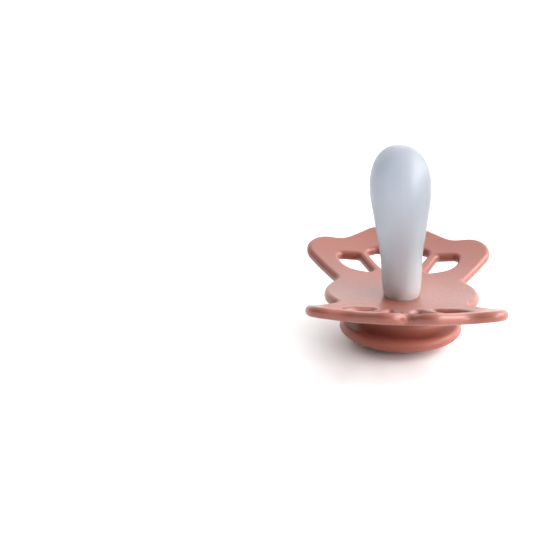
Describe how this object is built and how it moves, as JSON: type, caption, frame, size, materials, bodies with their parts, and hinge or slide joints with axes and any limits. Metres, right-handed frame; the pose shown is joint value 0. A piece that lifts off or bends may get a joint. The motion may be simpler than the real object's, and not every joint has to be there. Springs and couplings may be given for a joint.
{
  "type": "pacifier",
  "caption": "Baby's pacifier: a thin bow-shaped shield with petal vent holes, a hollow drop-shaped silicone teat, and a round domed knob it stands on.",
  "frame": {"origin": "on the rest surface, at the middle of the flat on the knob's dome", "axes": "+X along the shield's long axis, +Y along its short axis, +Z along the teat, away from the knob"},
  "size_m": [0.06, 0.0408, 0.0432],
  "materials": {
    "shield_plastic": "fine satin texture, dusty pink",
    "knob_plastic": "fine satin texture, dusty pink",
    "plug_plastic": "moulded, dusty pink",
    "teat_silicone": "soft translucent silicone, milky"
  },
  "bodies": {
    "root": {"shield": "shield_plastic", "teat": "teat_silicone", "teat_plug": "plug_plastic", "knob_base": "knob_plastic", "knob_cap": "knob_plastic"}
  },
  "joints": []
}
